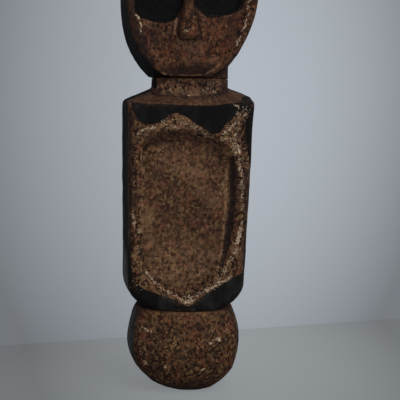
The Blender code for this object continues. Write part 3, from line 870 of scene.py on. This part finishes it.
@dataclass
class Torso(CarvedBlock):
    """The slab with its dished belly: blackened collar, sides and lower band."""

    node: str = "torso"
    collar: Outline = (
        (-64, 322.6), (-63.6, 316), (-61.6, 312.2), (-55.4, 303.6), (-48.3, 299.9), (-39.7, 300.4),
        (-31.2, 304.9), (-24.3, 311.2), (-16.6, 313.3), (-8.6, 310.5), (1.9, 303.8), (12.7, 297),
        (23.3, 291.4), (30.2, 292.6), (37, 302.7), (47.2, 310.7), (54, 317), (72, 318),
        (72, 333), (60, 331.5), (51.9, 326.3), (42.3, 324.3), (21.7, 321.5), (-8.6, 321.6), (-38.8, 322.1),
    )
    left_limit: Outline = (
        (96, -57), (124.6, -59.7), (156.4, -61.4), (165.2, -63.7), (219.4, -65.4), (294, -66.9), (322, -67.2),
    )
    right_limit: Outline = (
        (96, 57), (138.4, 60.3), (176, 61.3), (190, 65), (210, 64.2), (252, 64.6), (262, 63.2),
        (275, 61), (295.3, 58), (314.4, 56), (327, 54),
    )
    band_edge: Outline = (
        (-75, 146), (-60.1, 144.4), (-57.6, 128.1), (-42.4, 120.2), (-19.5, 112.9), (-1.2, 103.7),
        (3.2, 103), (14.6, 112.1), (28.6, 122.2), (46.3, 132.2), (60.2, 140.6), (75, 144),
    )
    neck_limit: float = -36.5
    neck_root: float = 337.0
    rear_rim: float = 4.0
    rear_facing: float = 0.35
    rear_steepness: float = 20.0
    rear_half_gap: float = 40.0
    rear_low: float = 310.0
    # Grey dust and painted sheen grow towards the bottom and on the side turned away from the lamp.
    dust_and_sheen_levels: Point = (-300.0, -130.0)
    dust_and_sheen_inset: Point = (2.5, 5.0)
    dust_and_sheen_all_over: float = 0.12
    dust_and_sheen_beside: float = 1.3
    collar_front: float = -20.0
    side_top: float = 330.0
    traces: tuple[Trace, ...] = Trace.rows(
        (3.5, 0.95, (-57, 289), (-50, 294.5), (-40, 297)),
        (3, 0.85, (-30, 303), (-27, 297.5), (-18, 299)),
        (3.4, 0.68, (-18, 299), (-6.5, 297.5), (9.3, 294)),
        (3.5, 0.85, (2, 301), (9.3, 293.5), (25.1, 287.5)),
        (10, 0.8, (57, 317), (49, 305), (43, 295), (35, 288)),
        (11, 0.83, (42, 291), (47, 279), (52, 268)),
        (4, 0.92, (52, 262), (54.8, 249), (57.3, 223)),
        (4, 0.65, (57.3, 223), (58, 210), (58.3, 195)),
        (4.5, 0.92, (58.3, 195), (55, 180), (51.8, 163)),
        (8, 0.58, (-30, 302), (-12, 305), (8, 298)),
        (5, 0.3, (-54, 272), (-53, 212)),
        (5, 0.75, (51.8, 163), (44.5, 150), (28.4, 126.7)),
        (4, 0.95, (46, 134.5), (28.4, 125), (10.9, 114.3), (3.4, 106.5)),
        (3, 0.9, (-44.9, 139.3), (-32, 125.8), (-25.1, 121.2)),
        (3.5, 0.95, (-20, 117.5), (-10.4, 113), (-1.3, 106.8)),
        (7, 0.8, (-2, 112), (4, 110)),
        (3.6, 0.95, (-61, 203), (-57, 198), (-59, 193)),
        (4, 0.95, (-57, 189), (-52.4, 184)),
        (3, 0.85, (-54.5, 167), (-53.5, 161)),
        (14, 0.35, (-55, 125), (-40, 150)),
        (14, 0.35, (20, 140), (38, 160)),
        (26, 0.25, (-10, 250), (10, 235)),
        (26, 0.22, (-20, 150), (10, 150)),
        (2.4, 1, (44, 322.5), (50, 320.5)),
        (4, 0.35, (-30, 335), (26, 335)),
        (8, 0.58, (-22, 338), (-17, 342), (-2, 332.5)),
        (5, 0.62, (13.5, 338), (25.5, 333.5)),
    )
    shadows: tuple[Trace, ...] = Trace.rows(
        (5.5, 1, (45.5, 264), (46.6, 246), (47.7, 229), (47.6, 212), (46.2, 196), (44.5, 183), (42, 168)),
        (4, 0.7, (42, 168), (37.5, 149)),
        (6, 0.8, (-64, 310), (-64, 150)),
        (3, 0.55, (-57.5, 250), (-57, 205)),
        (4, 0.4, (-60, 300), (-58.5, 280)),
        (4.5, 0.8, (61.5, 250), (61, 190), (60, 150)),
        (9, 0.8, (-55, 330), (55, 330)),
        (5, 0.6, (-62, 324.5), (60, 324.5)),
        (5, 0.45, (-36, 347), (40, 344)),
        (13, 1, (38, 350), (40, 338)),
        (30, 0.14, (-10, 225), (22, 205)),
        (14, 0.3, (-28, 236), (-8, 231)),
        (20, 0.26, (-22, 201), (18, 189)),
        (12, 0.34, (-45, 284), (-20, 287), (10, 284), (32, 274)),
        (12, 0.4, (16, 280), (34, 270), (35, 255), (22, 256)),
    )
    scuffs: tuple[Trace, ...] = Trace.rows(
        (13, 1, (-60, 305), (-58, 240), (-56, 165), (-50, 135)),
        (14, 1, (52, 312), (55, 270), (56, 220), (52, 180), (44, 150), (20, 120), (0, 106)),
        (9, 0.9, (-50, 140), (-25, 120), (0, 106)),
        (10, 0.9, (-50, 292), (-20, 303), (12, 292), (30, 287)),
        (11, 1, (-24, 338), (30, 337)),
        (28, 0.3, (-30, 146), (25, 146)),
    )
    # Lighter worn wood, and painted highlights such as the line left of the dark gash.
    rubs_and_highlights: tuple[Trace, ...] = Trace.rows(
        (1.9, 0.75, (40, 256), (40.1, 229), (39.8, 207), (38.7, 185), (36.5, 162), (33.6, 142)),
        (2, 0.15, (-52, 328), (0, 326), (46, 329)),
        (3.2, 0.75, (-50.5, 264), (-49.5, 240), (-50, 205), (-49, 175)),
        (1.8, 0.45, (1, 244.9), (20.6, 243.5), (41.2, 245.5)),
        (5, 0.5, (-29, 334.5), (-15, 333), (3, 333), (21, 335.5)),
        (6, 0.4, (-50, 292), (-34, 299), (-17, 301), (0, 299), (16, 294)),
        (34, 0.3, (-28, 150), (18, 150)),
        (16, 0.34, (-22, 266), (-2, 251), (8, 247)),
        (11, 0.42, (-45, 202), (-43, 170)),
        (12, 0.24, (14, 228), (30, 214)),
    )
    # A groove along the belly's right wall, darkened with painted shade.
    grooves: tuple[Trace, ...] = Trace.rows(
        (3.6, 1.3, (44.3, 264), (45.2, 246), (46.2, 229), (46.2, 212), (45, 196),
         (43.5, 183), (41, 166), (37, 148)),
    )

    def paint(self, spots: Array, normals: Array) -> Array:
        """Distance into the collar, the sides, the lower band and the neck's left side.

        Args:
            spots: Points in millimetres.
            normals: Their normals.

        Returns:
            One distance in millimetres for each point, positive inside.
        """
        flat = spots[:, (0, 2)]
        x, level = spots[:, 0], spots[:, 2]
        collar = np.where(spots[:, 1] < self.collar_front, inside_distance(flat, self.collar), OUTSIDE)
        sides = np.maximum(level_line(level, self.left_limit) - x, x - level_line(level, self.right_limit))
        sides = np.minimum(sides, self.side_top - level)
        band = level_line(x, self.band_edge) - level
        neck = np.minimum(self.neck_limit - x, level - self.neck_root)
        upwards = self.rear_steepness * (normals[:, 2] - self.rear_facing)
        rear = np.minimum(spots[:, 1] - self.rear_rim, upwards)
        rear = np.minimum(rear, np.minimum(np.abs(x) - self.rear_half_gap, level - self.rear_low))
        return np.maximum.reduce([collar, sides, band, neck, rear])

    def shade(self, spots: Array, normals: Array) -> Array:
        """Painted shade from the shadows, and on the neck's sides.

        Args:
            spots: Points in millimetres.
            normals: Their normals.

        Returns:
            A share for each point.
        """
        neck = soft_step(normals[:, 0], 0.35, 0.80)
        neck = neck * soft_step(spots[:, 2], self.neck_root, self.neck_root + 3.0)
        return np.maximum(0.95 * neck, super().shade(spots, normals))

    def dusty(self, spots: Array, normals: Array) -> Array:
        """Grey dust and painted sheen that grow downwards, mostly on the side of the figure's right hand.

        Args:
            spots: Points in millimetres.
            normals: Their normals.

        Returns:
            An amount for each point.
        """
        lower = soft_step(-spots[:, 2], *self.dust_and_sheen_levels)
        beside = soft_step(level_line(spots[:, 2], self.left_limit) - spots[:, 0], *self.dust_and_sheen_inset)
        beside = self.dust_and_sheen_beside * beside * soft_step(-normals[:, 0], *self.sideways)
        return lower * (self.dust_and_sheen_all_over + beside)


@dataclass
class Head(CarvedBlock):
    """The shield-shaped head: blackened sides and sockets, and painted shade on the chamfer under the chin.
    """

    node: str = "head"
    seed: int = 11
    voxel: float = 1.15 * MM
    scoop: float = 0.7 * MM
    swell: float = 1.0 * MM
    widest_level: float = 438.8
    half_width: float = 69.0
    crown: float = 82.0
    jaw: float = 87.0
    half_chin: float = 24.5
    offset: float = -1.5
    lean: float = 0.055
    rim_line: float = -32.2
    rim_width: float = 5.0
    nape: Point = (-24.0, 368.0)
    nape_front: float = -26.0
    socket_back: float = -15.0
    left_eye: Outline = (
        (-62.8, 419.5), (-60.4, 412), (-48.5, 409), (-36.6, 406.4), (-28.2, 406.6), (-19.8, 410),
        (-16.1, 416.5), (-11.7, 425.3), (-10.5, 436), (-12.5, 446), (-22, 452), (-37, 453.5),
        (-52, 451), (-60, 443), (-63, 432),
    )
    right_eye: Outline = (
        (0.5, 425.5), (6.8, 418.2), (14.1, 413.2), (23.9, 413.6), (39.5, 417.4), (50.4, 423.2), (53.5, 432),
        (54, 445), (49, 456), (36, 461), (20, 461), (7, 457), (0.5, 447), (-0.5, 436),
    )
    chin_facet: Outline = (
        (-38, 353.5), (-33.2, 357.8), (-20, 362.9), (-3, 363.8), (17.6, 364.9), (23.5, 362.9),
        (20, 354), (0, 346), (-34, 346),
    )
    traces: tuple[Trace, ...] = Trace.rows(
        (2.6, 1, (-61, 415), (-58, 410)),
        (2.4, 0.85, (-56.5, 406), (-55.5, 395)),
        (3.4, 1, (-9, 399), (-2, 402)),
        (3.2, 0.75, (56.5, 412), (56.8, 436)),
        (3.2, 0.75, (44, 384), (50, 396), (55, 410)),
        (6, 0.25, (-50, 372), (-30, 367)),
        (20, 0.35, (-40, 475), (40, 478)),
    )
    shadows: tuple[Trace, ...] = Trace.rows(
        (8, 1, (-66, 450), (-64.5, 410), (-58.5, 393), (-51.5, 377), (-45, 366)),
        (2.4, 0.9, (-13.5, 422), (-15.4, 412), (-16.8, 401), (-14, 393.8), (5, 393.8)),
        (1.8, 0.7, (2.2, 423), (4.6, 413), (6, 400)),
        (6, 0.35, (58, 446), (54, 412), (44, 386)),
        (10, 0.42, (42, 408), (38, 390)),
        (9, 0.38, (-46, 400), (-38, 388)),
    )
    scuffs: tuple[Trace, ...] = Trace.rows(
        (7, 0.8, (-61, 420), (-56, 395), (-46, 372)),
        (11, 0.9, (60, 440), (55, 405), (44, 380)),
        (12, 1, (-5, 425), (-5, 395)),
        (44, 0.22, (-35, 388), (35, 388)),
    )
    # Lighter worn wood, and painted highlights along the chin chamfer's lower border and the nose's sides.
    rubs_and_highlights: tuple[Trace, ...] = Trace.rows(
        (1.5, 0.62, (-36.5, 355.5), (-24, 352), (-2.5, 351.5), (13, 354), (23, 359.5), (29, 365.5)),
        (1.9, 0.62, (-17, 420.6), (-19, 408.1), (-20, 396.6), (-15.4, 388.6)),
        (1.9, 0.55, (8.4, 419.1), (10.4, 406.7), (11.2, 397.3)),
        (5, 0.2, (-28, 368), (0, 369.5), (24, 369)),
        (5, 0.32, (-52, 405), (-42, 403)),
        (11, 0.3, (-10, 388), (6, 381)),
    )
    # A groove along the top edge of the chin's chamfer, darkened with painted shade.
    grooves: tuple[Trace, ...] = Trace.rows(
        (1.9, 0.45, (-33, 358.5), (-20, 363.5), (-3, 364.5), (17.6, 365.5), (24, 362.5)),
    )

    def face_outline(self) -> Outline:
        """The front's outline in millimetres: a dome above and a cut-off jaw below.

        Returns:
            Its corners.
        """
        wide = self.half_width
        half = [
            (wide * math.sin(turn) ** 0.9, self.crown * math.cos(turn) ** 0.9)
            for turn in np.linspace(0.0, math.pi / 2, 15)
        ]
        half += [
            (math.sqrt(wide**2 - share**2 * (wide**2 - self.half_chin**2)), -self.jaw * share)
            for share in np.linspace(0.1, 1.0, 10)
        ]
        both = half + [(-x, z) for x, z in reversed(half)]
        return tuple((x + self.offset + self.lean * z, z + self.widest_level) for x, z in both)

    def paint(self, spots: Array, normals: Array) -> Array:
        """Distance into the blackened sides, back rim and eye sockets.

        Args:
            spots: Points in millimetres.
            normals: Not used.

        Returns:
            One distance in millimetres for each point, positive inside.
        """
        flat = spots[:, (0, 2)]
        inset = inside_distance(flat, self.face_outline())
        sides = np.minimum(spots[:, 1] - self.rim_line, self.rim_width - inset)
        bare = np.minimum(spots[:, 0] - self.nape[0], self.nape[1] - spots[:, 2])
        sides = np.minimum(sides, -bare)
        eyes = np.maximum(inside_distance(flat, self.left_eye), inside_distance(flat, self.right_eye))
        return np.maximum(sides, np.where(spots[:, 1] < self.socket_back, eyes, OUTSIDE))

    def shade(self, spots: Array, normals: Array) -> Array:
        """Painted shade on the chamfer under the chin, on the nape, on the underside and along the rim.

        Args:
            spots: Points in millimetres.
            normals: Their normals.

        Returns:
            A share for each point.
        """
        lens = soft_step(inside_distance(spots[:, (0, 2)], self.chin_facet), -0.5, 1.5)
        front = soft_step(-spots[:, 1], 22.0, 26.0)
        nape = soft_step(spots[:, 1], self.nape_front, self.nape_front + 2.0)
        nape = nape * soft_step(self.nape[1] - spots[:, 2], 0.0, 3.0)
        underside = 0.8 * soft_step(-normals[:, 2], 0.7, 0.95)
        return np.maximum.reduce([lens * front, nape, underside, super().shade(spots, normals)])


@dataclass
class Foot(CarvedBlock):
    """The knob: blackened at both sides and rough in front."""

    node: str = "foot"
    seed: int = 23
    scoop: float = 1.5 * MM
    scoop_size: float = 17.0 * MM
    swell: float = 2.0 * MM
    left_turn: float = 0.80
    right_turn: float = 0.93
    turn_length: float = 26.0
    traces: tuple[Trace, ...] = Trace.rows(
        (4.2, 0.95, (26.6, 62.5), (31, 66), (36.6, 65)),
        (3, 0.8, (-47, 77), (-38, 74)),
        (3, 0.85, (-25, 36), (-18, 33)),
        (3.2, 0.95, (17, 30), (22, 32)),
        (3, 0.8, (-45, 40), (-42, 36)),
        (12, 0.35, (-15, 60), (12, 52)),
        (10, 0.35, (30, 78), (45, 70)),
        (34, 0.2, (-40, 60), (40, 45)),
    )

    def paint(self, spots: Array, normals: Array) -> Array:
        """Distance into the blackened sides, which start where the knob turns away.

        Args:
            spots: Not used.
            normals: Their normals.

        Returns:
            One distance in millimetres for each point, positive inside.
        """
        left = (-normals[:, 0] - self.left_turn) * self.turn_length
        right = (normals[:, 0] - self.right_turn) * self.turn_length
        return np.maximum(left, right)

    def shade(self, spots: Array, normals: Array) -> Array:
        """Painted shade on the underside and where the knob turns away."""
        below = 0.75 * soft_step(-normals[:, 2], 0.25, 0.85)
        return np.maximum(below, 0.5 * soft_step(normals[:, 1], -0.85, -0.45))

    def dusty(self, spots: Array, normals: Array) -> Array:
        """Grey dust and painted sheen on the side of the figure's right hand."""
        return 0.8 * soft_step(-normals[:, 0], *self.sideways)


@dataclass
class Dowels:
    """The four hidden dowels: the solids stay, with a whittled finish."""

    nodes: tuple[str, ...] = ("head_dowel_left", "head_dowel_right", "foot_dowel_left", "foot_dowel_right")

    def dress(self, material: Material) -> None:
        """Give each dowel the finish.

        Args:
            material: The whittled finish.
        """
        for node in self.nodes:
            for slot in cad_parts[node].material_slots:
                slot.material = material
            log.info("%s: whittled finish", node)


# --- Stage, light and camera ---


@dataclass
class Stage:
    """A pale floor and a wall behind it, which is clear from its back, each with a painted glow of light
    around the figure.
    """

    wall_distance: float = 0.193
    wall_turn: float = math.radians(12.8)
    half_width: float = 4.0
    height: float = 3.0
    wall_colour: Colour = (161, 165, 170)
    floor_colour: Colour = (138, 142, 143)
    wall_glow: Colour = (187, 193, 201)
    floor_glow: Colour = (188, 193, 196)
    glow_place: tuple[float, float, float] = (0.06, 0.19, 0.29)
    glow_reach: tuple[float, float, float] = (3.2, 1.6, 2.2)
    wall_share: float = 0.74
    floor_share: float = 0.62
    glow_end: float = 0.3

    def surface(self, name: str, corners: list[Vector], colour: Colour, glow: Colour, share: float) -> None:
        """Make one flat stage surface whose front faces the figure.

        The camera alone sees a painted pool of light on it that fades away from the figure, so the lamp's
        shadow is faint.

        Args:
            name: The surface's name.
            corners: Its four corners.
            colour: Its colour.
            glow: The glow's colour beside the figure.
            share: The glow's share of what the camera sees. The rest keeps the figure's shadow.
        """
        mesh = bpy.data.meshes.new(name)
        mesh.from_pydata([tuple(corner) for corner in corners], [], [(0, 1, 2, 3)])
        piece = add_object(name, mesh)
        material, graph, shader, place = new_material(name)
        graph.feed(shader, {"Base Color": linear(colour), "Roughness": 0.9, "Specular IOR Level": 0.1})
        away = graph.vector("MULTIPLY", graph.vector("SUBTRACT", place, self.glow_place), self.glow_reach)
        away = graph.add("ShaderNodeVectorMath", {0: away, 1: away}, operation="DOT_PRODUCT").outputs["Value"]
        near = linear(glow)
        far = (*(value * self.glow_end for value in near[:3]), 1.0)
        faded = graph.blend(graph.math("MINIMUM", away, 1.0), near, far)
        lit = graph.add("ShaderNodeEmission", {"Color": faded, "Strength": 1.0}).outputs[0]
        seen = graph.math("MULTIPLY", graph.add("ShaderNodeLightPath").outputs["Is Camera Ray"], share)
        front = graph.add("ShaderNodeMixShader", {0: seen, 1: shader.outputs[0], 2: lit}).outputs[0]
        behind = graph.add("ShaderNodeNewGeometry").outputs["Backfacing"]
        clear = graph.add("ShaderNodeBsdfTransparent").outputs[0]
        mixed = graph.add("ShaderNodeMixShader", {0: behind, 1: front, 2: clear}).outputs[0]
        graph.put(material.node_tree.nodes["Material Output"].inputs["Surface"], mixed)
        mesh.materials.append(material)

    def build(self) -> None:
        """Make the floor and the wall."""
        turn = Matrix.Rotation(self.wall_turn, 4, "Z")
        base = [turn @ Vector((side * self.half_width, self.wall_distance, 0.0)) for side in (-1, 1)]
        up = Vector((0.0, 0.0, self.height))
        wall = [base[0], base[1], base[1] + up, base[0] + up]
        self.surface("wall", wall, self.wall_colour, self.wall_glow, self.wall_share)
        reach = self.half_width
        floor = [Vector((x * reach, y * reach, 0.0)) for x, y in ((-1, -1), (1, -1), (1, 1), (-1, 1))]
        self.surface("floor", floor, self.floor_colour, self.floor_glow, self.floor_share)
        log.info("stage: floor and wall")


@dataclass
class StudioLight:
    """A soft lamp from the upper right in front, and an even pale surround."""

    place: tuple[float, float, float] = (0.85, -1.55, 1.45)
    aim: tuple[float, float, float] = (0.0, 0.0, 0.28)
    size: float = 2.4
    power: float = 40.0
    surround: Colour = (214, 217, 222)
    surround_strength: float = 0.85

    def build(self) -> None:
        """Make the lamp and the surround."""
        lamp = bpy.data.lights.new("soft_lamp", "AREA")
        lamp.shape = "DISK"
        lamp.size = self.size
        lamp.energy = self.power
        lamp_object = add_object("soft_lamp", lamp)
        lamp_object.location = self.place
        towards = Vector(self.aim) - Vector(self.place)
        lamp_object.rotation_euler = towards.to_track_quat("-Z", "Y").to_euler()
        world = bpy.data.worlds.new("surround")
        world.use_nodes = True
        background = world.node_tree.nodes["Background"]
        background.inputs["Color"].default_value = linear(self.surround)
        background.inputs["Strength"].default_value = self.surround_strength
        bpy.context.scene.world = world
        log.info("studio light: one soft lamp and the surround")


@dataclass
class Viewpoint:
    """The photograph's camera: a little to the figure's right hand, slightly above and tipped."""

    azimuth: float = math.radians(-5.5)
    elevation: float = math.radians(8.0)
    roll: float = math.radians(1.6)
    distance: float = 1.2
    target: tuple[float, float, float] = (0.0, 0.0, 0.25)
    focal_pixels: float = 1090.0
    target_pixel: Point = (187.0, 166.9)
    sensor: float = 36.0

    def build(self) -> None:
        """Make the camera and let the scene use it."""
        camera = bpy.data.cameras.new("camera")
        camera.sensor_width = self.sensor
        camera.lens = self.focal_pixels * self.sensor / PHOTO_WIDTH
        camera.shift_x = (PHOTO_WIDTH / 2 - self.target_pixel[0]) / PHOTO_WIDTH
        camera.shift_y = (self.target_pixel[1] - PHOTO_WIDTH / 2) / PHOTO_WIDTH
        camera_object = add_object("camera", camera)
        turns = ((self.azimuth, "Z"), (math.pi / 2 - self.elevation, "X"), (self.roll, "Z"))
        stand = Matrix.Translation(self.target)
        for angle, axis in turns:
            stand = stand @ Matrix.Rotation(angle, 4, axis)
        camera_object.matrix_world = stand @ Matrix.Translation((0.0, 0.0, self.distance))
        bpy.context.scene.camera = camera_object
        log.info("camera: the photograph's viewpoint")


def main() -> None:
    """Build the figure block by block, then its stage, light and camera."""
    logging.basicConfig(level=logging.INFO, format="%(name)s: %(message)s")
    groups = ShaderGroups()
    pigment = PigmentFinish().make()
    tree = make_carving_tree()
    blocks = (
        (Foot(), CarvedWoodFinish(
            "stained_foot", mottle=1.15, red=(90, 52, 36), middle=(90, 65, 42), light=(128, 98, 68),
            plum=(56, 38, 29), ragged=4.0,
        )),
        (Torso(), CarvedWoodFinish("stained_torso")),
        (Head(), CarvedWoodFinish(
            "stained_head", red=(82, 45, 30), middle=(78, 51, 35), dark=(20, 12, 10), light=(104, 72, 50),
            plum=(54, 34, 30), black=(11, 10, 10), black_dust_and_sheen=(24, 23, 23),
        )),
    )
    for block, finish in blocks:
        block.dress(finish.make(groups), pigment, tree)
    Dowels().dress(WhittledFinish().make(groups))
    Stage().build()
    StudioLight().build()
    Viewpoint().build()
    bpy.context.scene.view_settings.view_transform = "Standard"


if __name__ == "__main__":
    main()
